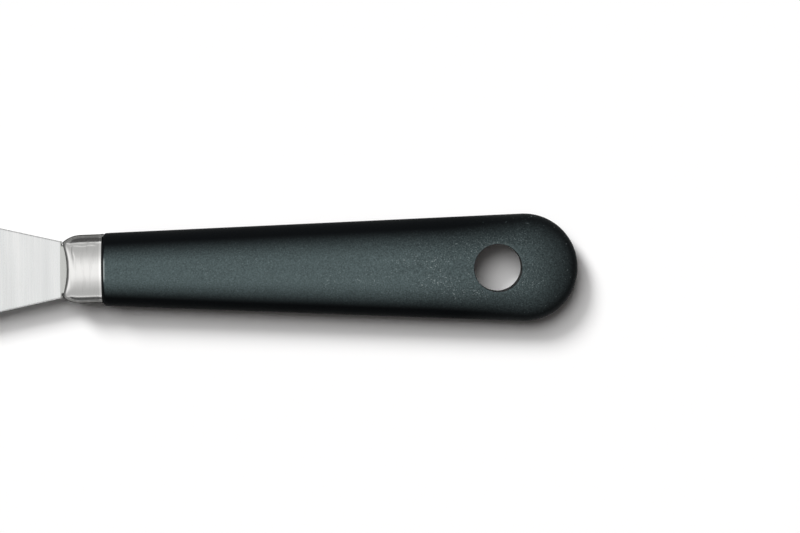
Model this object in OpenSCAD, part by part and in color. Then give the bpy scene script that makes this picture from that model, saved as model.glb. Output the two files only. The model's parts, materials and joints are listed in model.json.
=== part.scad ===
// Pastry spatula. A flat blade, flared towards its front edge, is one piece with a tang
// that runs through a pressed sleeve into a moulded handle with a hanging hole.
// While the pieces are drawn, X = 0 is the handle's front face, X grows towards the butt,
// Y runs across the blade and Z = 0 is the blade's middle plane.

/* [Blade] */
// Length of the blade from its heel to its front edge
blade_len = 95; // [60:1:140]
// Width of the blade at its heel
heel_w = 13.7; // [12.6:0.1:18]
// Angle by which each side of the blade flares out
flare = 12.5; // [4:0.5:20]
// Radius of the two front corners
front_corner_r = 2.5; // [0.5:0.5:8]
// Thickness of the sheet that the blade and tang are stamped from
stock_t = 1.5; // [1.2:0.1:2]
// Depth ground off each face where the grinding starts
grind_depth = 0.1; // [0.02:0.01:0.2]
// Distance from the heel to the line where the grinding starts
grind_start = 0.45; // [0.1:0.05:3]
// Thickness left at the front edge
front_edge_t = 0.6; // [0.4:0.1:0.8]

/* [Neck and tang] */
// Width of the neck and tang
tang_w = 11.8; // [9:0.1:12.4]
// Gap between the blade's heel and the sleeve's front corners
heel_gap = 0.1; // [0.1:0.05:1.5]
// Solid plastic between the tang's end and the hanging hole
tang_end_cover = 9; // [4:0.5:20]
// Number of locking holes in the tang
lock_holes = 3; // [1:1:4]
// Diameter of a locking hole
lock_hole_d = 5; // [3:0.5:7]

/* [Ferrule] */
// Length of the sleeve from its front corners to the handle
ferrule_len = 9.9; // [9:0.1:14]
// Wall thickness of the sleeve
ferrule_wall = 0.6; // [0.4:0.05:0.8]
// Height of the sleeve where it meets the handle
ferrule_t = 9; // [8:0.1:9.6]
// Length of the straight part next to the handle, before the sides draw in
ferrule_straight = 5; // [3.5:0.1:6]
// Length behind the lip over which the top and bottom round down to the neck
ferrule_slope = 3; // [2:0.1:3.5]
// Depth of the hollow in the front lip
lip_hollow = 1.2; // [0.4:0.1:1.5]

/* [Handle] */
// Length of the handle from its front face to the butt
handle_len = 115; // [95:1:135]
// Width of the handle at its front face
handle_front_w = 17.6; // [16.8:0.1:20]
// Width of the handle at its round butt
butt_w = 26.1; // [22:0.1:30]
// Thickness of the handle
handle_t = 11; // [10:0.1:14]
// Length over which the butt thins out to its end
nose_len = 35; // [20:1:45]
// Radius of the edge around the front face
front_edge_r = 1; // [0.4:0.1:1.5]
// How far the handle stands proud of the sleeve on each side
handle_step = 0.5; // [0.2:0.1:0.8]
// How far the handle's spigot reaches past the straight part of the sleeve
spigot_reach = 1.8; // [0.2:0.1:2]

/* [Hanging hole] */
// Diameter of the hanging hole
hang_d = 11.6; // [6:0.2:13]
// Distance from the hole's centre to the end of the butt
hang_inset = 19.4; // [15:0.1:26]

/* [Fits] */
// Clearance all round between a moulded or pressed piece and what it holds
fit = 0.05; // [0.02:0.01:0.1]

/* [Hidden] */

// Smoothness of the arcs
$fn = 96;
// Points around one section of a lofted piece
SECTION_POINTS = 48;
// Sections along the sleeve, the spigot and the straight grip
FERRULE_ROWS = 6;
SPIGOT_ROWS = 8;
GRIP_ROWS = 6;
// Degrees between the sections of the sleeve's round shoulder, the handle's front edge and
// the butt, and where the butt ends
SHOULDER_TURN = 9;
EDGE_TURN = 22.5;
NOSE_TURN = 4;
NOSE_LAST_TURN = 88;
// A little length that carries a cut past a face
OVER = 1;
// Roundness of the sections of the grip, the sleeve and the sleeve's flattened lip, and of
// the shoulder behind the lip: 2 is an ellipse, and a large value is nearly a rectangle
GRIP_ROUNDNESS = 2.6;
FERRULE_ROUNDNESS = 3.2;
LIP_ROUNDNESS = 5;
SHOULDER_ROUNDNESS = 3;
// How suddenly the sleeve's sides draw in towards its front corners
DRAW_IN_POWER = 2.4;

// Places along X
ferrule_front_x = -ferrule_len;
heel_x = ferrule_front_x - heel_gap;
front_x = heel_x - blade_len;
hang_x = handle_len - hang_inset;
tang_end_x = hang_x - hang_d / 2 - tang_end_cover;
butt_r = butt_w / 2;
butt_x = handle_len - butt_r;
nose_x = handle_len - nose_len;

// Sizes across
front_half_w = heel_w / 2 + blade_len * tan(flare);
heel_t = stock_t - 2 * grind_depth;
ferrule_half_w = handle_front_w / 2 - handle_step;
ferrule_half_t = ferrule_t / 2;
lip_half_w = tang_w / 2 + fit + ferrule_wall;
lip_half_t = stock_t / 2 + fit + ferrule_wall;
lip_r = (pow(lip_half_w, 2) + pow(lip_hollow, 2)) / (2 * lip_hollow);

// Taper of the handle's sides, which run into the round butt without a corner
handle_taper = asin(butt_r / norm([butt_x, handle_front_w / 2]))
             - atan(handle_front_w / 2 / butt_x);
taper_end_x = butt_x - butt_r * sin(handle_taper);

// Moves a piece from the drawing place to the object's own frame, whose origin is the
// middle of the object's box at the level that it lies on
module place() {
    translate([-(front_x + handle_len) / 2, 0, handle_t / 2]) children();
}

// A power that keeps the sign of its base
function signed_power(base, power) = sign(base) * pow(abs(base), power);

// One closed section across X, with half width a and half thickness b
function section(x, a, b, roundness) = [
    for (i = [0 : SECTION_POINTS - 1])
        let (turn = 360 * i / SECTION_POINTS)
        [x, a * signed_power(cos(turn), 2 / roundness), b * signed_power(sin(turn), 2 / roundness)]
];

// A solid through a row of sections, from the lowest X to the highest. The end faces are
// strips from top to bottom, so that they follow a section whose X changes across Y
module loft(sections) {
    n = SECTION_POINTS;
    last = (len(sections) - 1) * n;
    sides = [
        for (row = [0 : n : last - n], i = [0 : n - 1])
            let (a = row + i, b = row + (i + 1) % n)
            each [[a, a + n, b], [b, a + n, b + n]]
    ];
    first_cap = concat(
        [[0, 1, n - 1], [n / 2 - 1, n / 2, n / 2 + 1]],
        [for (i = [1 : n / 2 - 2]) each [[i, i + 1, n - i], [n - i, i + 1, n - i - 1]]]
    );
    last_cap = [for (face = first_cap) [last + face[0], last + face[2], last + face[1]]];
    polyhedron(
        points = [for (one = sections) each one],
        faces = concat(sides, first_cap, last_cap)
    );
}

// How far the sleeve's hollow lip stands back, at a distance from the middle
function lip_retreat(y) =
    sqrt(pow(lip_r, 2) - pow(min(abs(y), lip_half_w), 2)) - (lip_r - lip_hollow);

// Share of the way from the shoulder's start to the lip
function lip_share(x) = max(0, ferrule_slope + ferrule_front_x - x) / ferrule_slope;

// The sleeve's half width along X, and its half thickness where its lip stands back
function draw_in(x) = pow(max(0, -ferrule_straight - x) / (ferrule_len - ferrule_straight), DRAW_IN_POWER);
function ferrule_a(x) = ferrule_half_w - (ferrule_half_w - lip_half_w) * draw_in(x);
function ferrule_b(x, retreat) =
    lip_half_t + (ferrule_half_t - lip_half_t)
        * pow(1 - pow(min(1, lip_share(x - retreat)), SHOULDER_ROUNDNESS), 1 / SHOULDER_ROUNDNESS);

// One closed section of the sleeve, an inset inside its outer face. It bends back with the lip
function ferrule_section(x, inset) = [
    for (i = [0 : SECTION_POINTS - 1])
        let (
            turn = 360 * i / SECTION_POINTS,
            power = 2 / (FERRULE_ROUNDNESS + (LIP_ROUNDNESS - FERRULE_ROUNDNESS) * min(1, lip_share(x))),
            y = (ferrule_a(x) - inset) * signed_power(cos(turn), power),
            here = x + lip_retreat(y) * lip_share(x)
        )
        [here, y, (ferrule_b(here - inset, lip_retreat(y)) - inset) * signed_power(sin(turn), power)]
];

// The handle's half width and half thickness along X
function handle_a(x) =
    x < taper_end_x
        ? handle_front_w / 2 + x * tan(handle_taper)
        : sqrt(pow(butt_r, 2) - pow(x - butt_x, 2));
function handle_b(x) =
    handle_t / 2 * pow(1 - pow(max(0, x - nose_x) / nose_len, GRIP_ROUNDNESS), 1 / GRIP_ROUNDNESS);
function handle_section(x, inset) =
    section(x, handle_a(x) - inset, handle_b(x) - inset, GRIP_ROUNDNESS);

// Plan of the blade: two straight flared sides, a straight front edge and two round corners
module blade_plan() {
    corner_x = front_x + front_corner_r;
    corner_y = front_half_w - front_corner_r * (tan(flare) + 1 / cos(flare));
    touch = [corner_x + front_corner_r * sin(flare), corner_y + front_corner_r * cos(flare)];
    polygon([
        [heel_x, -heel_w / 2],
        [heel_x, heel_w / 2],
        touch,
        [front_x, corner_y],
        [front_x, -corner_y],
        [touch.x, -touch.y]
    ]);
    for (side = [-1, 1])
        translate([corner_x, side * corner_y]) circle(r = front_corner_r);
}

// Side view of the blade: full thickness at the heel, then both faces ground down evenly
module blade_side() {
    grind_x = heel_x - grind_start;
    polygon([
        [heel_x, -stock_t / 2],
        [grind_x, -stock_t / 2],
        [grind_x, -heel_t / 2],
        [front_x, -front_edge_t / 2],
        [front_x, front_edge_t / 2],
        [grind_x, heel_t / 2],
        [grind_x, stock_t / 2],
        [heel_x, stock_t / 2]
    ]);
}

// Plan of the neck and tang from a given X, wider all round by grow, with locking holes
module tang_plan(from_x, grow) {
    round_x = tang_end_x - tang_w / 2;
    difference() {
        union() {
            translate([from_x, -tang_w / 2 - grow]) square([round_x - from_x, tang_w + 2 * grow]);
            translate([round_x, 0]) circle(d = tang_w + 2 * grow);
        }
        for (i = [1 : lock_holes])
            translate([i * tang_end_x / (lock_holes + 1), 0]) circle(d = lock_hole_d - 2 * grow);
    }
}

// Blade, neck and tang, stamped from one sheet
module blade() {
    color("gainsboro") place() {
        intersection() {
            linear_extrude(height = stock_t, center = true) blade_plan();
            rotate([90, 0, 0])
                linear_extrude(height = 2 * front_half_w, center = true) blade_side();
        }
        linear_extrude(height = stock_t, center = true) tang_plan(heel_x - grind_start, 0);
    }
}

// Pressed sleeve, open at the handle and flattened onto the neck at the front
module ferrule() {
    shoulder_x = ferrule_front_x + ferrule_slope;
    places = concat(
        [
            for (turn = [0 : SHOULDER_TURN : 90 - SHOULDER_TURN])
                shoulder_x - ferrule_slope * pow(cos(turn), 2 / SHOULDER_ROUNDNESS)
        ],
        [for (i = [0 : FERRULE_ROWS]) shoulder_x * (1 - i / FERRULE_ROWS)]
    );
    color("silver") place() difference() {
        loft([for (x = places) ferrule_section(x, 0)]);
        loft([
            for (x = concat(ferrule_front_x - OVER, places, OVER)) ferrule_section(x, ferrule_wall)
        ]);
        translate([ferrule_front_x - OVER, -tang_w / 2 - fit, -stock_t / 2 - fit])
            cube([ferrule_len, tang_w + 2 * fit, stock_t + 2 * fit]);
    }
}

// Outside of the handle: edge round the front face, tapered grip and thinning round butt
module handle_body() {
    edge_rows = [
        for (turn = [0 : EDGE_TURN : 90])
            handle_section(front_edge_r * (1 - cos(turn)), front_edge_r * (1 - sin(turn)))
    ];
    grip_rows = [
        for (i = [1 : GRIP_ROWS])
            handle_section(front_edge_r + (nose_x - front_edge_r) * i / GRIP_ROWS, 0)
    ];
    nose_rows = [
        for (turn = [NOSE_TURN : NOSE_TURN : NOSE_LAST_TURN])
            handle_section(nose_x + nose_len * sin(turn), 0)
    ];
    loft(concat(edge_rows, grip_rows, nose_rows));
}

// Plug of the handle's plastic that fills the sleeve, rooted in the handle
module spigot() {
    front = -ferrule_straight - spigot_reach;
    root = 2 * front_edge_r;
    loft([
        for (x = [for (i = [0 : SPIGOT_ROWS]) front * (1 - i / SPIGOT_ROWS), root])
            ferrule_section(x, ferrule_wall + fit)
    ]);
}

// Moulded handle with its spigot, closed round the tang, and the hanging hole
module handle() {
    color([0.16, 0.2, 0.2]) place() difference() {
        union() {
            handle_body();
            spigot();
        }
        linear_extrude(height = stock_t + 2 * fit, center = true)
            tang_plan(ferrule_front_x, fit);
        translate([hang_x, 0, -handle_t]) cylinder(d = hang_d, h = 2 * handle_t);
    }
}

blade();
ferrule();
handle();
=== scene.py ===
"""The finished look of the pastry spatula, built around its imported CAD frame."""

import json
import math

import bmesh
import bpy
from mathutils import Matrix, Vector


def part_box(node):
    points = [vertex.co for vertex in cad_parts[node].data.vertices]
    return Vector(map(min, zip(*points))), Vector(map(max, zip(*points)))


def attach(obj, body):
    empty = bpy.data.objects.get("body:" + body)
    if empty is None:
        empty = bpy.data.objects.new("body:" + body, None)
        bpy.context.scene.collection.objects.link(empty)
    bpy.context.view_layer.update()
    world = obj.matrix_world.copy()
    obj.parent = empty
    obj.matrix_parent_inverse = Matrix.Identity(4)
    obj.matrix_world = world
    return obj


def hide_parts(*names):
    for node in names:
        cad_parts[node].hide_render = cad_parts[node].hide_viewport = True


MM = 0.001

# Blade and tang, in millimetres
BLADE_LEN = 95.0
HEEL_W = 13.7
FLARE = math.radians(12.5)
FRONT_CORNER_R = 2.5
STOCK_T = 1.5
GRIND_DEPTH = 0.1
GRIND_START = 0.45
GRIND_RAMP = 0.12
FRONT_EDGE_T = 0.6
STAMPED_EDGE_R = 0.3
TANG_W = 11.8
HEEL_GAP = 0.1
TANG_END_COVER = 9.0
LOCK_HOLES = 3
LOCK_HOLE_D = 5.0

# Ferrule, in millimetres: its rear rim flares a little, and it leans to one side there
FERRULE_LEN = 9.9
FERRULE_WALL = 0.6
FERRULE_T = 9.0
FERRULE_STRAIGHT = 5.0
FERRULE_SLOPE = 3.0
LIP_HOLLOW = 1.2
LIP_EDGE_R = 0.28
REAR_EDGE_R = 0.15
REAR_FLARE = 0.05
REAR_FLARE_LEN = 0.9
REAR_LEAN = 0.3

# Pressing crease across one corner of the ferrule's upper face, in millimetres
CREASE_DEPTH = 0.13
CREASE_WIDTH = 0.17
CREASE_X = -7.05
CREASE_START_Y = 1.3
CREASE_END_Y = 6.4
CREASE_FADE_IN = 1.8
CREASE_FADE_OUT = 0.8
CREASE_BEND = 0.85
CREASE_BEND_Y = 4.2
CREASE_BEND_LEN = 2.6
CREASE_BEND_POWER = 1.5

# Long wavy mark along the ferrule's upper face, in millimetres and radians to the millimetre
MARK_DEPTH = 0.035
MARK_WIDTH = 0.2
MARK_START_X = -8.0
MARK_END_X = -0.8
MARK_FADE = 1.0
MARK_Y = 5.8
MARK_WAVE = 0.12
MARK_WAVE_RATE = 1.7

# Handle, in millimetres: its front edge is a small chamfer that a round carries on
HANDLE_LEN = 115.0
HANDLE_FRONT_W = 17.6
BUTT_W = 26.1
HANDLE_T = 11.0
NOSE_LEN = 35.0
FRONT_EDGE_R = 1.0
CHAMFER_LEN = 0.32
CHAMFER_RISE = 0.72
HANDLE_STEP = 0.5
SPIGOT_REACH = 1.8
TANG_ROOM_MOUTH = 1.0
HOLE_EDGE_R = 0.06
FIT = 0.05

# Roundness of the sections: 2 is an ellipse, and a large value is nearly a rectangle
GRIP_ROUNDNESS = 2.6
FERRULE_ROUNDNESS = 5.8
LIP_ROUNDNESS = 5.0
SHOULDER_ROUNDNESS = 3.0

# How the ferrule's faces fall towards their sides, and how its sides draw in towards the lip
FERRULE_CROWN = 0.27
CROWN_POWER = 1.5
DRAW_IN_POWER = 2.4

# How finely the meshes are divided
SECTION_POINTS = 192
ARC_STEP = math.radians(7.5)
STAMPED_EDGE_STEPS = 3
RIM_STEPS = 4
SHOULDER_STEPS = 60
SLEEVE_STEPS = 60
FLARE_STEPS = 8
SLEEVE_INSIDE_STEPS = 30
SPIGOT_STEPS = 8
CHAMFER_STEPS = 4
EDGE_STEPS = 8
GRIP_STEPS = 70
PATCH_STEPS = 22
BUTT_STEPS = 26
BUTT_LAST_TURN = math.radians(89.5)
HOLE_FIELD_STEPS = 10
HOLE_EDGE_STEPS = 6
HOLE_WALL_STEPS = 8

# Patch of the handle round its hanging hole: reach in hole radii, and across in section points
PATCH_BEFORE = 1.6
PATCH_BEHIND = 1.5
PATCH_ACROSS = SECTION_POINTS // 9

# Points closer than this become one, in millimetres
MERGE = 0.0005
PLATE_MERGE = 0.001

# Share of Z in the normal of a blade face from which on it is shaded flat
FLAT_FACE = 0.99

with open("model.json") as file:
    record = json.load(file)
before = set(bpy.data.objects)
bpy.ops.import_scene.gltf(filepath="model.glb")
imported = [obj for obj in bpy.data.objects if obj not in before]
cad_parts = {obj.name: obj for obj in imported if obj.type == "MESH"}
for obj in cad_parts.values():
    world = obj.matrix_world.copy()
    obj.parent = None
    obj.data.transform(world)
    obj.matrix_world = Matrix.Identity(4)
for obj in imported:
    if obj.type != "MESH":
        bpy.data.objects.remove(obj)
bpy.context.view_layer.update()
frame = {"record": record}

# Places that the frame gives, in millimetres: the handle's front face is the drawing's X = 0
ORIGIN_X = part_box("ferrule")[1].x / MM
HANDLE_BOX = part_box("handle")
MID_Z = (HANDLE_BOX[0].z + HANDLE_BOX[1].z) / 2 / MM
HANG_HOLE = next(one for one in frame["record"]["mounts"] if one["name"] == "hang_hole")
HANG_X = HANG_HOLE["pos_m"][0] / MM - ORIGIN_X
HANG_R = HANG_HOLE["dims"]["r_mm"]

# Sizes that follow from the ones above
HEEL_X = -FERRULE_LEN - HEEL_GAP
FRONT_X = HEEL_X - BLADE_LEN
GRIND_X = HEEL_X - GRIND_START
TANG_END_X = HANG_X - HANG_R - TANG_END_COVER
BUTT_R = BUTT_W / 2
BUTT_X = HANDLE_LEN - BUTT_R
NOSE_X = HANDLE_LEN - NOSE_LEN
SPIGOT_X = -FERRULE_STRAIGHT - SPIGOT_REACH
FERRULE_HALF_W = HANDLE_FRONT_W / 2 - HANDLE_STEP
LIP_HALF_W = TANG_W / 2 + FIT + FERRULE_WALL
LIP_HALF_T = STOCK_T / 2 + FIT + FERRULE_WALL
LIP_R = (LIP_HALF_W**2 + LIP_HOLLOW**2) / (2 * LIP_HOLLOW)
TAPER = math.asin(BUTT_R / math.hypot(BUTT_X, HANDLE_FRONT_W / 2)) - math.atan(
    HANDLE_FRONT_W / 2 / BUTT_X
)
TAPER_END_X = BUTT_X - BUTT_R * math.sin(TAPER)
SECTION_TURNS = [2 * math.pi * i / SECTION_POINTS for i in range(SECTION_POINTS)]


def signed_power(base, power):
    """A power that keeps the sign of its base."""
    return math.copysign(abs(base) ** power, base)


def clamp(value):
    """The value, held between 0 and 1."""
    return min(1.0, max(0.0, value))


def rounded(share, roundness):
    """Height of a rounded form, from 1 at its middle (share 0) to 0 at its side (share 1)."""
    return (1 - share**roundness) ** (1 / roundness)


def spaced(start, end, steps):
    """Evenly spaced values from start to end, both included."""
    return [start + (end - start) * i / steps for i in range(steps + 1)]


def add_object(name, data):
    """A new object in the scene."""
    thing = bpy.data.objects.new(name, data)
    bpy.context.scene.collection.objects.link(thing)
    return thing


def evaluated(thing):
    """An object with its modifiers or its curve settings carried out."""
    bpy.context.view_layer.update()
    return thing.evaluated_get(bpy.context.evaluated_depsgraph_get())


class Shell:
    """Collects the points, in drawing millimetres, and the faces of one mesh."""

    def __init__(self):
        self.points = []
        self.faces = []

    def ring(self, points):
        """Adds a ring of points and returns their numbers."""
        start = len(self.points)
        self.points.extend(points)
        return list(range(start, len(self.points)))

    def bridge(self, first, second, skip=()):
        """Joins two closed rings of the same length by quads, apart from the skipped ones."""
        count = len(first)
        for i in range(count):
            j = (i + 1) % count
            if i not in skip:
                self.faces.append((first[i], first[j], second[j], second[i]))

    def tube(self, rings):
        """Joins each ring to the next one."""
        for first, second in zip(rings, rings[1:]):
            self.bridge(first, second)

    def mesh(self, name):
        """The finished mesh, in metres and in the object's own frame."""
        data = bpy.data.meshes.new(name)
        data.from_pydata(self.points, [], self.faces)
        return settle(data)


def settle(data):
    """Moves a mesh from drawing millimetres to the frame and turns its faces outwards."""
    bm = bmesh.new()
    bm.from_mesh(data)
    bmesh.ops.remove_doubles(bm, verts=bm.verts, dist=MERGE)
    bmesh.ops.recalc_face_normals(bm, faces=bm.faces)
    for face in bm.faces:
        face.smooth = True
    bm.transform(Matrix.Scale(MM, 4) @ Matrix.Translation((ORIGIN_X, 0, MID_Z)))
    bm.to_mesh(data)
    bm.free()
    return data


def settled_mesh(bm, name):
    """The mesh of a bmesh in drawing millimetres, moved to the frame."""
    data = bpy.data.meshes.new(name)
    bm.to_mesh(data)
    bm.free()
    return settle(data)


def add_piece(name, data, material, node):
    """A visible piece that stands for a CAD node and takes its material slot."""
    data.materials.clear()
    data.materials.append(material)
    piece = add_object(name, data)
    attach(piece, "root")
    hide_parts(node)
    return piece


def arc(centre, radius, start, end):
    """Points along a round stretch, angles in radians, both ends included."""
    steps = max(2, round(abs(end - start) / ARC_STEP))
    return [
        (centre[0] + radius * math.cos(turn), centre[1] + radius * math.sin(turn))
        for turn in spaced(start, end, steps)
    ]


def plate(name, outlines, half_t, edge_r):
    """A flat plate within a set of outlines, its edges rounded, as a bmesh in millimetres."""
    curve = bpy.data.curves.new(name, "CURVE")
    curve.dimensions = "2D"
    curve.fill_mode = "BOTH"
    curve.extrude = half_t - edge_r
    curve.bevel_depth = edge_r
    curve.bevel_resolution = STAMPED_EDGE_STEPS
    curve.offset = -edge_r
    for outline in outlines:
        spline = curve.splines.new("POLY")
        spline.points.add(len(outline) - 1)
        for point, (x, y) in zip(spline.points, outline):
            point.co = (x, y, 0, 1)
        spline.use_cyclic_u = True
    holder = add_object(name, curve)
    bm = bmesh.new()
    bm.from_mesh(evaluated(holder).to_mesh())
    bpy.data.objects.remove(holder)
    bmesh.ops.remove_doubles(bm, verts=bm.verts, dist=PLATE_MERGE)
    return bm


def tang_outline(grow):
    """The tang's round end, from one side to the other, moved outwards by a distance."""
    end_x = TANG_END_X - TANG_W / 2
    return arc((end_x, 0), TANG_W / 2 + grow, -math.pi / 2, math.pi / 2)


def lock_hole_outlines(grow):
    """The round locking holes along the tang, each begun at another angle.

    So no three of their points lie on one line, where filling would leave a flat face.
    """
    radius = LOCK_HOLE_D / 2 - grow
    return [
        arc((i * TANG_END_X / (LOCK_HOLES + 1), 0), radius, i, i + 2 * math.pi)[:-1]
        for i in range(1, LOCK_HOLES + 1)
    ]


def tang_room():
    """The room for the tang, from before the spigot, with holes that leave the posts."""
    half = TANG_W / 2 + FIT
    mouth_x = SPIGOT_X - TANG_ROOM_MOUTH
    outline = tang_outline(FIT) + [(mouth_x, half), (mouth_x, -half)]
    bm = plate("tang_room", [outline] + lock_hole_outlines(FIT), STOCK_T / 2 + FIT, 0)
    return settled_mesh(bm, "tang_room")


def cut_out(body, room):
    """One closed mesh with another taken out of it."""
    holders = [add_object(data.name, data) for data in (body, room)]
    cutter = holders[0].modifiers.new("cut", "BOOLEAN")
    cutter.operation = "DIFFERENCE"
    cutter.solver = "EXACT"
    cutter.object = holders[1]
    result = bpy.data.meshes.new_from_object(evaluated(holders[0]))
    for holder in holders:
        bpy.data.objects.remove(holder)
    return result


def blade_outline():
    """The whole stamped sheet: tang, neck, flared sides, round corners and front edge."""
    corner_x = FRONT_X + FRONT_CORNER_R
    front_half_w = HEEL_W / 2 + BLADE_LEN * math.tan(FLARE)
    corner_y = front_half_w - FRONT_CORNER_R * (math.tan(FLARE) + 1 / math.cos(FLARE))
    corner = arc((corner_x, corner_y), FRONT_CORNER_R, math.pi / 2 - FLARE, math.pi)
    side = [(HEEL_X, TANG_W / 2), (HEEL_X, HEEL_W / 2)] + corner
    return tang_outline(0) + side + [(x, -y) for x, y in reversed(side)]


def blade_half_t(x):
    """Half the sheet's thickness along the drawing's X: full behind the grind's ramp."""
    if x >= GRIND_X - GRIND_RAMP / 2:
        return STOCK_T / 2
    ground = STOCK_T / 2 - GRIND_DEPTH
    along = clamp((GRIND_X - x) / (GRIND_X - FRONT_X))
    return ground + (FRONT_EDGE_T / 2 - ground) * along


def build_blade(material):
    """Blade, neck and tang: one sheet, ground thinner from a line near the heel."""
    outlines = [blade_outline()] + lock_hole_outlines(0)
    bm = plate("blade_sheet", outlines, STOCK_T / 2, STAMPED_EDGE_R)
    for cut_x in (GRIND_X, GRIND_X - GRIND_RAMP):
        everything = bm.verts[:] + bm.edges[:] + bm.faces[:]
        bmesh.ops.bisect_plane(bm, geom=everything, plane_co=(cut_x, 0, 0), plane_no=(1, 0, 0))
    for vert in bm.verts:
        vert.co.z *= blade_half_t(vert.co.x) / (STOCK_T / 2)
    data = settled_mesh(bm, "blade_steel_sheet")
    for polygon in data.polygons:
        polygon.use_smooth = abs(polygon.normal.z) < FLAT_FACE
    across = data.uv_layers.new(name="across")
    for loop in data.loops:
        place = data.vertices[loop.vertex_index].co
        across.data[loop.index].uv = (place.x, place.y)
    return add_piece("blade_sheet", data, material, "blade")


def draw_in(x):
    """How far the ferrule's sides have drawn in, from 0 at the straight part to 1 in front."""
    return clamp((-FERRULE_STRAIGHT - x) / (FERRULE_LEN - FERRULE_STRAIGHT)) ** DRAW_IN_POWER


def lip_retreat(y):
    """How far the hollow front lip stands back at a distance from the middle."""
    inside = min(abs(y), LIP_HALF_W)
    return math.sqrt(LIP_R**2 - inside**2) - (LIP_R - LIP_HOLLOW)


def lip_share(x):
    """Share of the way from the shoulder's start to the lip."""
    return max(0.0, FERRULE_SLOPE - FERRULE_LEN - x) / FERRULE_SLOPE


def crease_depth(x, y):
    """Depth of the pressing crease, which bends towards the handle near the middle."""
    bend = clamp((CREASE_BEND_Y - y) / CREASE_BEND_LEN) ** CREASE_BEND_POWER
    line_x = CREASE_X + CREASE_BEND * bend
    reach = clamp((y - CREASE_START_Y) / CREASE_FADE_IN) * clamp((CREASE_END_Y - y) / CREASE_FADE_OUT)
    return CREASE_DEPTH * reach * math.exp(-(((x - line_x) / CREASE_WIDTH) ** 2))


def mark_depth(x, y):
    """Depth of the long mark, which runs along the ferrule in a slight wave."""
    line_y = MARK_Y + MARK_WAVE * math.sin(MARK_WAVE_RATE * x)
    reach = clamp((x - MARK_START_X) / MARK_FADE) * clamp((MARK_END_X - x) / MARK_FADE)
    return MARK_DEPTH * reach * math.exp(-(((y - line_y) / MARK_WIDTH) ** 2))


def ferrule_point(x, inset, turn, flare=0.0):
    """One point of the ferrule's surface, at an inset from its outside."""
    half_w = FERRULE_HALF_W - (FERRULE_HALF_W - LIP_HALF_W) * draw_in(x) - inset + flare
    power = 2 / (FERRULE_ROUNDNESS + (LIP_ROUNDNESS - FERRULE_ROUNDNESS) * clamp(lip_share(x)))
    y = half_w * signed_power(math.cos(turn), power)
    retreat = lip_retreat(y)
    x += retreat * lip_share(x)
    fall = rounded(clamp(lip_share(x - inset - retreat)), SHOULDER_ROUNDNESS)
    half_t = LIP_HALF_T + (FERRULE_T / 2 - LIP_HALF_T) * fall - inset + flare
    crown = 1 - FERRULE_CROWN * fall * (abs(y) / half_w) ** CROWN_POWER
    z = half_t * crown * signed_power(math.sin(turn), power)
    dent = crease_depth(x, y) + mark_depth(x, y) if y > 0 and z > 0 else 0.0
    lean = REAR_LEAN * clamp((x + FERRULE_LEN) / FERRULE_LEN)
    return (x, y + lean, z - dent)


def ferrule_ring(x, inset, flare=0.0):
    """One closed ring of the ferrule's surface."""
    return [ferrule_point(x, inset, turn, flare) for turn in SECTION_TURNS]


def ferrule_profile():
    """Where the rings lie along the wall: (x, inset, flare), once round from the lip."""
    front = -FERRULE_LEN
    rows = []
    for turn in spaced(0, math.pi / 2, RIM_STEPS):
        x = front + LIP_EDGE_R * (1 - math.cos(turn))
        rows.append((x, LIP_EDGE_R * (1 - math.sin(turn)), 0))
    shoulder_x = front + FERRULE_SLOPE
    for turn in spaced(0, math.pi / 2, SHOULDER_STEPS)[1:-1]:
        x = shoulder_x - (FERRULE_SLOPE - LIP_EDGE_R) * math.cos(turn) ** (2 / SHOULDER_ROUNDNESS)
        rows.append((x, 0, 0))
    for x in spaced(shoulder_x, -REAR_FLARE_LEN, SLEEVE_STEPS):
        rows.append((x, 0, 0))
    for step in spaced(0, 1, FLARE_STEPS)[1:]:
        x = -REAR_FLARE_LEN + (REAR_FLARE_LEN - REAR_EDGE_R) * step
        rows.append((x, 0, REAR_FLARE * (1 - math.cos(math.pi * step)) / 2))
    for turn in spaced(0, math.pi / 2, RIM_STEPS)[1:]:
        x = -REAR_EDGE_R * (1 - math.sin(turn))
        rows.append((x, REAR_EDGE_R * (1 - math.cos(turn)), REAR_FLARE))
    for x in spaced(0, front + LIP_EDGE_R, SLEEVE_INSIDE_STEPS):
        rows.append((x, FERRULE_WALL, 0))
    rows.append((front, FERRULE_WALL - LIP_EDGE_R, 0))
    return rows


def build_ferrule(material):
    """Pressed sleeve: straight at the handle, flattened onto the neck, with a hollow lip."""
    shell = Shell()
    rings = [shell.ring(ferrule_ring(*row)) for row in ferrule_profile()]
    shell.tube(rings + rings[:1])
    data = shell.mesh("ferrule_sleeve")
    return add_piece("ferrule_sleeve", data, material, "ferrule")


def handle_half_w(x):
    """Half width of the handle along the drawing's X."""
    if x < TAPER_END_X:
        return HANDLE_FRONT_W / 2 + x * math.tan(TAPER)
    return math.sqrt(max(0.0, BUTT_R**2 - (x - BUTT_X) ** 2))


def handle_half_t(x):
    """Half thickness of the handle along the drawing's X."""
    return HANDLE_T / 2 * rounded(clamp((x - NOSE_X) / NOSE_LEN), GRIP_ROUNDNESS)


def handle_height(x, y):
    """Height of the handle's upper surface over its middle plane."""
    return handle_half_t(x) * rounded(clamp(abs(y) / handle_half_w(x)), GRIP_ROUNDNESS)


def handle_ring(x, inset=0.0):
    """One closed ring of the handle's outside."""
    power = 2 / GRIP_ROUNDNESS
    half_w = handle_half_w(x) - inset
    half_t = handle_half_t(x) - inset
    ring = []
    for turn in SECTION_TURNS:
        y = half_w * signed_power(math.cos(turn), power)
        z = half_t * signed_power(math.sin(turn), power)
        ring.append((x, y, z))
    return ring


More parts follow.
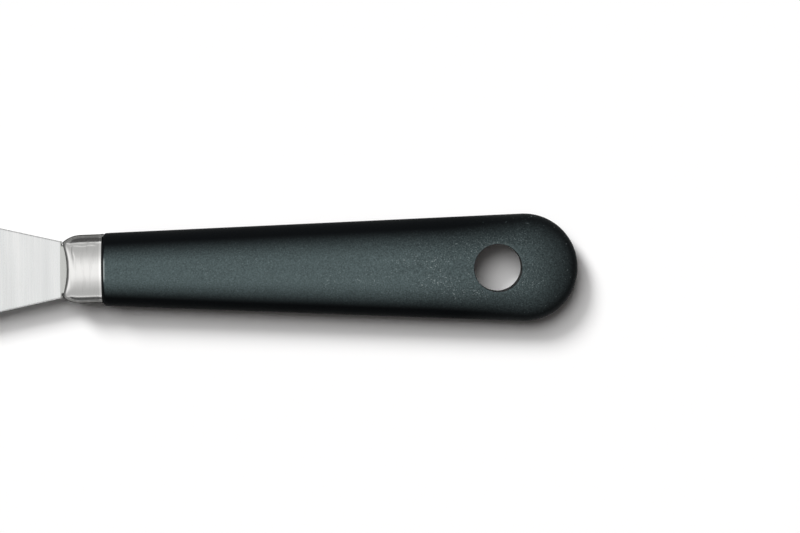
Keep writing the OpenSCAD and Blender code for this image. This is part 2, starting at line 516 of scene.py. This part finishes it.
def handle_front():
    """Rings of the spigot and of the handle's front edge: the chamfer, then the round."""
    rings = [ferrule_ring(x, FERRULE_WALL + FIT) for x in spaced(SPIGOT_X, 0, SPIGOT_STEPS)]
    for step in spaced(0, 1, CHAMFER_STEPS):
        rings.append(handle_ring(step * CHAMFER_LEN, FRONT_EDGE_R - step * CHAMFER_RISE))
    for turn in spaced(0, math.pi / 2, EDGE_STEPS)[1:]:
        x = FRONT_EDGE_R - (FRONT_EDGE_R - CHAMFER_LEN) * math.cos(turn)
        rings.append(handle_ring(x, (FRONT_EDGE_R - CHAMFER_RISE) * (1 - math.sin(turn))))
    return rings


def hole_rings(border):
    """Rings from a border on the upper surface in to the hole, down it and out below."""
    rays = []
    for x, y in border:
        angle = math.atan2(y, x - HANG_X)
        rays.append((x, y, math.cos(angle), math.sin(angle)))
    rim_r = HANG_R + HOLE_EDGE_R
    upper = []
    for step in spaced(0, 1, HOLE_FIELD_STEPS)[1:]:
        ring = []
        for x, y, along, across in rays:
            px = x + (HANG_X + rim_r * along - x) * step
            py = y + (rim_r * across - y) * step
            ring.append((px, py, handle_height(px, py)))
        upper.append(ring)
    rim = upper[-1]
    for turn in spaced(0, math.pi / 2, HOLE_EDGE_STEPS)[1:]:
        radius = HANG_R + HOLE_EDGE_R * (1 - math.sin(turn))
        drop = HOLE_EDGE_R * (1 - math.cos(turn))
        ring = []
        for (_, _, along, across), (_, _, z) in zip(rays, rim):
            ring.append((HANG_X + radius * along, radius * across, z - drop))
        upper.append(ring)
    levels = spaced(1, -1, HOLE_WALL_STEPS)[1:-1]
    wall = [[(x, y, z * level) for x, y, z in upper[-1]] for level in levels]
    lower = [[(x, y, -z) for x, y, z in ring] for ring in reversed(upper)]
    return upper + wall + lower


def pierce(shell, rows, start, end):
    """Joins the open patch on the handle's upper side to the one below, through the hole."""
    border = [rows[0][i] for i in range(start, end)]
    border += [row[end] for row in rows[:-1]]
    border += [rows[-1][i] for i in range(end, start, -1)]
    border += [row[start] for row in reversed(rows[1:])]
    below = {row[i]: row[SECTION_POINTS - i] for row in rows for i in range(start, end + 1)}
    plan = [shell.points[number][:2] for number in border]
    loops = [border] + [shell.ring(ring) for ring in hole_rings(plan)[:-1]]
    loops.append([below[number] for number in border])
    shell.tube(loops)


def build_handle(material):
    """Moulded handle with its spigot, its edge round the ferrule and its hanging hole."""
    shell = Shell()
    front = handle_front()
    patch_start = HANG_X - PATCH_BEFORE * HANG_R
    patch_end = HANG_X + PATCH_BEHIND * HANG_R
    grip = [handle_ring(x) for x in spaced(FRONT_EDGE_R, patch_start, GRIP_STEPS)[1:]]
    patch = [handle_ring(x) for x in spaced(patch_start, patch_end, PATCH_STEPS)[1:]]
    first_turn = math.asin((patch_end - BUTT_X) / BUTT_R)
    turns = spaced(first_turn, BUTT_LAST_TURN, BUTT_STEPS)[1:]
    butt = [handle_ring(BUTT_X + BUTT_R * math.sin(turn)) for turn in turns]
    rings = [shell.ring(points) for points in front + grip + patch + butt]

    first_row = len(front) + len(grip) - 1
    last_row = first_row + len(patch)
    start = SECTION_POINTS // 4 - PATCH_ACROSS
    end = SECTION_POINTS // 4 + PATCH_ACROSS
    half_turn = SECTION_POINTS // 2
    skipped = set(range(start, end)) | set(range(start + half_turn, end + half_turn))
    for row, (first, second) in enumerate(zip(rings, rings[1:])):
        shell.bridge(first, second, skipped if first_row <= row < last_row else ())
    shell.faces.append(tuple(rings[0]))
    shell.faces.append(tuple(rings[-1]))
    pierce(shell, rings[first_row : last_row + 1], start, end)
    data = cut_out(shell.mesh("handle_solid"), tang_room())
    return add_piece("handle_grip", data, material, "handle")


class Nodes:
    """Builds the nodes of one tree."""

    def __init__(self, tree):
        self.tree = tree

    def add(self, kind, **settings):
        """A new node with the given properties."""
        node = self.tree.nodes.new(kind)
        for key, value in settings.items():
            setattr(node, key, value)
        return node

    def link(self, output, target):
        """Leads an output to the input of another node."""
        self.tree.links.new(output, target)

    def combine(self, first, second, operation="ADD"):
        """The result of one arithmetic operation on two values, or on the first alone."""
        node = self.add("ShaderNodeMath", operation=operation)
        for socket, value in zip(node.inputs, (first, second)):
            if isinstance(value, (int, float)):
                socket.default_value = value
            else:
                self.link(value, socket)
        return node.outputs["Value"]

    def product(self, first, *others):
        """All the values multiplied."""
        for other in others:
            first = self.combine(first, other, "MULTIPLY")
        return first

    def maximum(self, first, *others):
        """The largest of the values."""
        for other in others:
            first = self.combine(first, other, "MAXIMUM")
        return first

    def spread(self, value, low, high, from_low=0.3, from_high=0.7, shape="LINEAR"):
        """Stretches a value over a range: as a rule a noise, which mostly lies in 0.3 to 0.7."""
        node = self.add("ShaderNodeMapRange", interpolation_type=shape)
        node.inputs["From Min"].default_value = from_low
        node.inputs["From Max"].default_value = from_high
        node.inputs["To Min"].default_value = low
        node.inputs["To Max"].default_value = high
        self.link(value, node.inputs["Value"])
        return node.outputs["Result"]

    def fade(self, value, start, end, low=0.0, high=1.0):
        """A smooth step from low to high as the value goes from start to end."""
        return self.spread(value, low, high, start, end, "SMOOTHSTEP")

    def fade_mm(self, length, start, end, low=0.0, high=1.0):
        """The same for a length, with start and end in millimetres."""
        return self.fade(length, start * MM, end * MM, low, high)

    def parts(self, kind):
        """The X, Y and Z of a place, a normal or a direction."""
        place = self.add("ShaderNodeTexCoord")
        parts = self.add("ShaderNodeSeparateXYZ")
        self.link(place.outputs[kind], parts.inputs["Vector"])
        return parts.outputs


class Material(Nodes):
    """Builds the node tree of one procedural material."""

    def __init__(self, name):
        self.material = bpy.data.materials.new(name)
        self.material.use_nodes = True
        super().__init__(self.material.node_tree)
        self.shader = self.tree.nodes["Principled BSDF"]

    def grain(self, sizes, detail=2.0, roughness=0.5):
        """Noise whose features measure the given millimetres along X, Y and Z."""
        place = self.add("ShaderNodeTexCoord")
        mapping = self.add("ShaderNodeMapping")
        mapping.inputs["Scale"].default_value = [1 / (size * MM) for size in sizes]
        noise = self.add("ShaderNodeTexNoise")
        noise.inputs["Scale"].default_value = 1.0
        noise.inputs["Detail"].default_value = detail
        noise.inputs["Roughness"].default_value = roughness
        self.link(place.outputs["Object"], mapping.inputs["Vector"])
        self.link(mapping.outputs["Vector"], noise.inputs["Vector"])
        return noise.outputs["Fac"]

    def flatness(self):
        """1 where a surface looks straight up or down, and 0 on an upright wall."""
        return self.combine(self.parts("Normal")["Z"], 0.0, "ABSOLUTE")

    def tint(self, value, colours):
        """A base colour that runs through the given ones as the value goes from 0 to 1."""
        ramp = self.add("ShaderNodeValToRGB")
        elements = ramp.color_ramp.elements
        while len(elements) < len(colours):
            elements.new(1.0)
        for i, colour in enumerate(colours):
            elements[i].position = i / (len(colours) - 1)
            elements[i].color = (*colour, 1.0)
        self.link(value, ramp.inputs["Fac"])
        self.link(ramp.outputs["Color"], self.shader.inputs["Base Color"])

    def relief(self, height, depth):
        """Bump of the given depth in millimetres."""
        bump = self.add("ShaderNodeBump")
        bump.inputs["Strength"].default_value = 1.0
        bump.inputs["Distance"].default_value = depth * MM
        self.link(height, bump.inputs["Height"])
        self.link(bump.outputs["Normal"], self.shader.inputs["Normal"])


# Blade steel: sizes of its brushed lines in millimetres, and its shades from neck to bright line; the
# neck's darker shade is partly its unground finish and partly painted shade beside the ferrule
BLADE_COLOURS = [
    (0.53, 0.535, 0.51),
    (0.62, 0.63, 0.62),
    (0.66, 0.67, 0.665),
    (0.76, 0.77, 0.765),
    (0.9, 0.895, 0.885),
]
BLADE_ROUGHNESS = (0.22, 0.34)
BLADE_ANISOTROPY = 0.6
FINE_LINE_SIZES = (0.35, 25, 25)
FINE_LINE_SHARE = 0.6
BROAD_LINE_SIZES = (3.5, 40, 40)
BROAD_LINE_SHARE = 0.4
LINE_DEPTH = 0.008
LINE_CONTRAST = 0.5
NECK_LINE_SHARE = 0.3
# How much lighter the ground blade is than the neck, whose darker shade is partly finish and partly
# painted shade
NECK_FINISH_AND_SHADE = 0.5
GROUND_BORDER = 0.05


def blade_steel():
    """Stainless sheet, brushed across the blade, with a darker neck: partly its unground finish,
    partly painted shade beside the ferrule.
    """
    nodes = Material("brushed_blade_steel")
    nodes.shader.inputs["Metallic"].default_value = 1.0
    nodes.shader.inputs["Anisotropic"].default_value = BLADE_ANISOTROPY
    tangent = nodes.add("ShaderNodeTangent", direction_type="UV_MAP", uv_map="across")
    nodes.link(tangent.outputs["Tangent"], nodes.shader.inputs["Tangent"])
    fine = nodes.grain(FINE_LINE_SIZES, detail=3.0, roughness=0.6)
    broad = nodes.grain(BROAD_LINE_SIZES)
    lines = nodes.combine(
        nodes.product(fine, FINE_LINE_SHARE),
        nodes.product(broad, BROAD_LINE_SHARE),
    )
    place_x = nodes.parts("Object")["X"]
    # Painted shade: the unground neck beside the ferrule is coloured darker, partly for its finish
    # and partly as shade from the ferrule
    border_x = ORIGIN_X + GRIND_X
    unground_and_shaded = nodes.fade_mm(place_x, border_x - GROUND_BORDER, border_x + GROUND_BORDER)
    shade = nodes.fade(unground_and_shaded, 0, 1, NECK_FINISH_AND_SHADE, 0)
    contrast = nodes.fade(unground_and_shaded, 0, 1, 1, NECK_LINE_SHARE)
    line_shade = nodes.product(nodes.spread(lines, 0, LINE_CONTRAST), contrast)
    nodes.tint(nodes.combine(shade, line_shade), BLADE_COLOURS)
    nodes.link(nodes.spread(fine, *BLADE_ROUGHNESS), nodes.shader.inputs["Roughness"])
    nodes.relief(lines, LINE_DEPTH)
    return nodes.material


# Ferrule steel: sizes and spans in millimetres, and its shades from bright to dark: the painted
# highlight of the rear rim, the steel, and the painted shade of the flanks and lip
FERRULE_COLOURS = [(0.98, 0.975, 0.96), (0.80, 0.795, 0.78), (0.18, 0.18, 0.175)]
FERRULE_SPECULAR_TINT = (0.1, 0.1, 0.1, 1.0)
FERRULE_ROUGHNESS = (0.09, 0.15)
DRAWING_MARK_SIZES = (0.35, 6, 6)
DRAWING_MARK_DEPTH = 0.003
WEAR_SIZES = (0.9, 5, 5)
WEAR_SHADE = 0.1
FACE_SHADE = 0.5
# Painted shade on the flanks: the flatness over which steep faces turn from dark to the steel's
# colour
STEEP_TO_FLAT = (0.76, 0.88)
# Painted shadow along the lip: its span behind the lip in millimetres, and its darkness
LIP_LINE_SPAN = (0.25, 0.6)
LIP_LINE_SHADE = 0.95
# Painted highlight on the rear rim: where it rises and falls, in millimetres from the rear, and its
# strength
RIM_LIGHT_START = (-0.8, -0.5)
RIM_LIGHT_END = (-0.3, 0.0)
RIM_LIGHT = 0.5
RIM_LIGHT_LEFT = 0.3


def ferrule_steel():
    """Polished steel with faint drawing marks, painted shade on its flanks and along its lip, and a
    painted highlight on its rear rim.
    """
    nodes = Material("polished_ferrule_steel")
    nodes.shader.inputs["Metallic"].default_value = 1.0
    nodes.shader.inputs["Specular Tint"].default_value = FERRULE_SPECULAR_TINT
    marks = nodes.grain(DRAWING_MARK_SIZES)
    wear = nodes.grain(WEAR_SIZES, detail=3.0)
    place = nodes.parts("Object")
    # Painted shadow: a dark line along the lip, where the ferrule meets the neck
    to_lip_centre = nodes.combine(place["X"], (LIP_R - LIP_HOLLOW + FERRULE_LEN - ORIGIN_X) * MM)
    squares = nodes.combine(
        nodes.product(to_lip_centre, to_lip_centre),
        nodes.product(place["Y"], place["Y"]),
    )
    behind_lip = nodes.combine(nodes.combine(squares, 0.5, "POWER"), -LIP_R * MM)
    painted_lip_shadow = nodes.fade_mm(behind_lip, *LIP_LINE_SPAN, LIP_LINE_SHADE, 0)
    # Painted shade: the steep flanks are coloured dark, darker than the steel's own colour
    upright = nodes.fade(nodes.flatness(), *STEEP_TO_FLAT, 1, 0)
    shade = nodes.maximum(upright, painted_lip_shadow)
    shade = nodes.combine(shade, nodes.spread(wear, -WEAR_SHADE, WEAR_SHADE))
    shade = nodes.spread(shade, FACE_SHADE, 1, 0, 1)
    # Painted highlight: the rear rim's upper faces are coloured lighter, towards the ramp's brightest
    # colour
    light_start = [ORIGIN_X + place_x for place_x in RIM_LIGHT_START]
    light_end = [ORIGIN_X + place_x for place_x in RIM_LIGHT_END]
    painted_rim_highlight = nodes.product(
        nodes.fade_mm(place["X"], *light_start, 0, RIM_LIGHT),
        nodes.fade_mm(place["X"], *light_end, 1, RIM_LIGHT_LEFT),
        nodes.fade(nodes.flatness(), *STEEP_TO_FLAT),
    )
    nodes.tint(nodes.combine(shade, painted_rim_highlight, "SUBTRACT"), FERRULE_COLOURS)
    nodes.link(nodes.spread(wear, *FERRULE_ROUGHNESS), nodes.shader.inputs["Roughness"])
    nodes.relief(marks, DRAWING_MARK_DEPTH)
    return nodes.material


# Black plastic: its shades, gloss and roughness, and the sizes of its grain in millimetres; its pale
# shade serves the pale flecks and the painted glint of the front edge
PLASTIC_COLOURS = [(0.003, 0.0035, 0.004), (0.03, 0.038, 0.04), (0.22, 0.24, 0.24)]
PLASTIC_IOR = 1.62
PLASTIC_SPECULAR_TINT = (0.73, 0.98, 1.0, 1.0)
PLASTIC_ROUGHNESS = (0.27, 0.32)
STEEP_ROUGHNESS = 0.3
GRAIN_SIZES = (0.4, 0.4, 0.4)
GRAIN_DEPTH = 0.03
SPECK_SIZES = (0.3, 0.3, 0.3)
SPECK_RANGE = (0.52, 0.72)
SPECK_PATCHES = (0.55, 1.0)
FLECK_SIZES = (0.45, 0.45, 0.45)
FLECK_RANGE = (0.76, 0.82)
FLECK_SHADE = 0.6
PATCH_SIZES = (6, 6, 6)
SPARKLE = 0.3
SPARKLE_MEAN = 0.93
GLOSS_POWER = 2.6

# Black plastic: spans in millimetres from the handle's front, and levels before and after them
BUTT_SPAN = (85, 105)
BUTT_GLOSS = (0.02, 0.08)
ONE_SIDE_LEVELS = (-0.065, 0)
SLOPE_SPAN = (80, 108)
SLOPE_LEVELS = (0.87, 0.77)
COARSE_SPAN = (50, 92)
COARSE_LEVELS = (0.66, 1.0)
POLISH_SPAN = (68, 90)
POLISH_LEVELS = (1.0, 0.81)
# Painted glint on the handle's front edge: where it starts and ends from the front, and how far it
# reaches from the middle
EDGE_GLINT_START = (0.4, 0.55)
EDGE_GLINT_END = (0.75, 1.0)
EDGE_GLINT_SIDE = (1.5, 4.5)


def handle_plastic():
    """Black moulded plastic with a spark-eroded grain, which gets coarser towards the butt, and a
    painted glint on its front edge.
    """
    nodes = Material("grained_black_plastic")
    nodes.shader.inputs["IOR"].default_value = PLASTIC_IOR
    nodes.shader.inputs["Specular Tint"].default_value = PLASTIC_SPECULAR_TINT
    grain = nodes.grain(GRAIN_SIZES)
    specks = nodes.grain(SPECK_SIZES, detail=1.0)
    flecks = nodes.grain(FLECK_SIZES, detail=0.0)
    patches = nodes.grain(PATCH_SIZES)
    place = nodes.parts("Object")
    from_front = nodes.combine(place["X"], -ORIGIN_X * MM)
    from_middle = nodes.combine(place["Y"], 0.0, "ABSOLUTE")
    coarse = nodes.fade_mm(from_front, *COARSE_SPAN, *COARSE_LEVELS)

    one_side = nodes.product(
        nodes.combine(nodes.parts("Normal")["Y"], 0.0, "MINIMUM"),
        nodes.fade_mm(from_front, *BUTT_SPAN, *ONE_SIDE_LEVELS),
    )
    slope = nodes.fade_mm(from_front, *SLOPE_SPAN, *SLOPE_LEVELS)
    flat = nodes.combine(nodes.combine(nodes.flatness(), one_side), slope, "SUBTRACT")
    flat = nodes.combine(flat, nodes.combine(1.0, slope, "SUBTRACT"), "DIVIDE")
    flat = nodes.combine(nodes.maximum(flat, 0.0), GLOSS_POWER, "POWER")
    sparkle = nodes.product(nodes.spread(grain, -SPARKLE, SPARKLE), coarse)
    gloss = nodes.product(
        nodes.combine(flat, nodes.fade_mm(from_front, *BUTT_SPAN, *BUTT_GLOSS)),
        nodes.combine(sparkle, SPARKLE_MEAN),
        nodes.fade_mm(from_front, *POLISH_SPAN, *POLISH_LEVELS),
    )
    nodes.link(gloss, nodes.shader.inputs["Specular IOR Level"])

    # Grain specks limited by the gloss mask: real grain, but painted only where the sheen falls, so
    # partly painted sparkle
    speckle = nodes.product(
        nodes.spread(specks, 0, 1, *SPECK_RANGE),
        nodes.spread(patches, *SPECK_PATCHES),
        flat,
        coarse,
    )
    pale_flecks = nodes.product(
        nodes.spread(flecks, 0, FLECK_SHADE, *FLECK_RANGE),
        nodes.fade_mm(from_front, *BUTT_SPAN),
    )
    # Painted glint: the middle of the front edge is coloured pale, as a highlight
    painted_edge_glint = nodes.product(
        nodes.fade_mm(from_front, *EDGE_GLINT_START),
        nodes.fade_mm(from_front, *EDGE_GLINT_END, 1, 0),
        nodes.fade_mm(from_middle, *EDGE_GLINT_SIDE, 1, 0),
    )
    nodes.tint(nodes.maximum(speckle, pale_flecks, painted_edge_glint), PLASTIC_COLOURS)
    roughness = nodes.combine(
        nodes.spread(patches, *PLASTIC_ROUGHNESS),
        nodes.spread(flat, STEEP_ROUGHNESS, 0, 0, 1),
    )
    nodes.link(roughness, nodes.shader.inputs["Roughness"])
    nodes.relief(grain, GRAIN_DEPTH)
    return nodes.material


# Floor, with its half size in metres
FLOOR_REACH = 4.0
FLOOR_COLOUR = (0.96, 0.96, 0.96, 1.0)
FLOOR_ROUGHNESS = 0.9


def build_floor():
    """A plain pale floor under the object, wide enough to fill every view."""
    data = bpy.data.meshes.new("floor")
    signs = [(-1, -1), (1, -1), (1, 1), (-1, 1)]
    corners = [(x * FLOOR_REACH, y * FLOOR_REACH, 0) for x, y in signs]
    data.from_pydata(corners, [], [(0, 1, 2, 3)])
    floor = add_object("floor", data)
    nodes = Material("white_floor")
    nodes.shader.inputs["Base Color"].default_value = FLOOR_COLOUR
    nodes.shader.inputs["Roughness"].default_value = FLOOR_ROUGHNESS
    nodes.shader.inputs["Specular IOR Level"].default_value = 0.0
    data.materials.append(nodes.material)


# Studio that the camera and gloss see: levels of its parts
CORE_LEVEL = 0.56
STRIP_LEVEL = 0.52
EDGE_LEVEL = 0.3
SIDE_LEVEL = 0.36
STUDIO_LEVEL = 0.09
WALL_LEVEL = 0.7

# Studio: where its parts start and end, in the X, Y or Z of a direction of length 1
STRIP_SHIFT = 0.05
CORE_SPAN = (0.06, 0.42)
STRIP_SPAN = (0.64, 0.7)
EDGE_START = (0.57, 0.6)
EDGE_END = (0.64, 0.68)
STRIP_REACH = (0.15, 0.7)
WALL_SPAN = (0.2, 0.42)
FRONT_SIDE_SPAN = (-0.6, -0.25)
REAR_SIDE_SPAN = (0.45, 0.8)

# Light that camera and gloss don't see: the fill's span is the cosine of the angle to it
FILL_LEVEL = 0.47
FILL_SPAN = (0.8, 0.97)
FILL_COLOUR = (1.0, 0.95, 0.93)
FILL_FROM = Vector((-0.10, 0.16, 1.0))
KEY_LEVEL = 0.52
KEY_ANGLE = math.radians(18)
KEY_FROM = Vector((-0.76, 0.95, 1.0))
SOFT_LEVEL = 0.43
SOFT_ANGLE = math.radians(38)
SOFT_FROM = Vector((-0.30, 0.48, 1.0))


def studio_strength(nodes, x, y, z):
    """Brightness of the studio: an overhead strip with bright edges, sides and a pale horizon."""
    beside = nodes.combine(nodes.combine(y, STRIP_SHIFT), 0.0, "ABSOLUTE")
    core = nodes.fade(beside, *CORE_SPAN, CORE_LEVEL, 0)
    strip = nodes.fade(beside, *STRIP_SPAN, STRIP_LEVEL, 0)
    edge = nodes.product(
        nodes.fade(beside, *EDGE_START, 0, EDGE_LEVEL),
        nodes.fade(beside, *EDGE_END, 1, 0),
    )
    overhead = nodes.product(
        nodes.combine(nodes.combine(core, strip), edge),
        nodes.fade(x, *STRIP_REACH, 1, 0),
    )
    walls = nodes.fade(z, *WALL_SPAN, WALL_LEVEL, STUDIO_LEVEL)
    sides = nodes.combine(
        nodes.fade(x, *FRONT_SIDE_SPAN, SIDE_LEVEL, 0),
        nodes.fade(x, *REAR_SIDE_SPAN, 0, SIDE_LEVEL),
    )
    return nodes.maximum(walls, sides, overhead)


def build_world():
    """The studio for the camera and gloss, and a soft fill from above for the rest."""
    world = bpy.data.worlds.new("studio")
    bpy.context.scene.world = world
    world.use_nodes = True
    world.cycles.sampling_method = "NONE"
    world.node_tree.nodes.clear()
    nodes = Nodes(world.node_tree)

    studio = nodes.add("ShaderNodeBackground")
    studio.inputs["Color"].default_value = (1.0, 1.0, 1.0, 1.0)
    strength = studio_strength(nodes, *nodes.parts("Generated"))
    nodes.link(strength, studio.inputs["Strength"])

    to_fill = nodes.add("ShaderNodeVectorMath", operation="DOT_PRODUCT")
    direction = nodes.add("ShaderNodeTexCoord").outputs["Generated"]
    nodes.link(direction, to_fill.inputs[0])
    to_fill.inputs[1].default_value = FILL_FROM.normalized()
    fill = nodes.add("ShaderNodeBackground")
    fill.inputs["Color"].default_value = (*FILL_COLOUR, 1.0)
    fill_strength = nodes.fade(to_fill.outputs["Value"], *FILL_SPAN, 0, FILL_LEVEL)
    nodes.link(fill_strength, fill.inputs["Strength"])

    rays = nodes.add("ShaderNodeLightPath").outputs
    is_seen = nodes.maximum(
        rays["Is Camera Ray"],
        rays["Is Glossy Ray"],
        rays["Is Transmission Ray"],
    )
    choice = nodes.add("ShaderNodeMixShader")
    nodes.link(is_seen, choice.inputs["Fac"])
    nodes.link(fill.outputs["Background"], choice.inputs[1])
    nodes.link(studio.outputs["Background"], choice.inputs[2])
    output = nodes.add("ShaderNodeOutputWorld")
    nodes.link(choice.outputs["Shader"], output.inputs["Surface"])


def build_lamp(name, level, angle, toward):
    """A soft light from the picture's upper left, which gives the floor its shadow."""
    light = bpy.data.lights.new(name, "SUN")
    light.energy = level * math.pi / toward.normalized().z
    light.angle = angle
    lamp = add_object(name, light)
    lamp.rotation_mode = "QUATERNION"
    lamp.rotation_quaternion = toward.to_track_quat("Z", "Y")
    lamp.visible_glossy = False


# Camera, in millimetres: straight above the photograph's middle, with a slight tilt and roll
VIEW_CENTRE = Vector((ORIGIN_X + 71.93, 0.33, MID_Z))
VIEW_DISTANCE = 640.0
VIEW_WIDTH = 194.1
VIEW_TILT = math.radians(1.75)
VIEW_ROLL = math.radians(-0.3)
SENSOR_WIDTH = 36.0


def build_camera():
    """The photograph's view: from above, with the blade towards the left."""
    data = bpy.data.cameras.new("photo_view")
    data.sensor_width = SENSOR_WIDTH
    data.lens = SENSOR_WIDTH * VIEW_DISTANCE / VIEW_WIDTH
    camera = add_object("photo_view", data)
    turn = Matrix.Rotation(VIEW_ROLL, 4, "Z") @ Matrix.Rotation(-VIEW_TILT, 4, "X")
    back = turn @ Vector((0, 0, VIEW_DISTANCE))
    camera.matrix_world = Matrix.Translation((VIEW_CENTRE + back) * MM) @ turn
    bpy.context.scene.camera = camera


build_camera()
build_blade(blade_steel())
build_ferrule(ferrule_steel())
build_handle(handle_plastic())
build_floor()
build_world()
build_lamp("key", KEY_LEVEL, KEY_ANGLE, KEY_FROM)
build_lamp("soft_key", SOFT_LEVEL, SOFT_ANGLE, SOFT_FROM)
bpy.context.scene.view_settings.view_transform = "Standard"
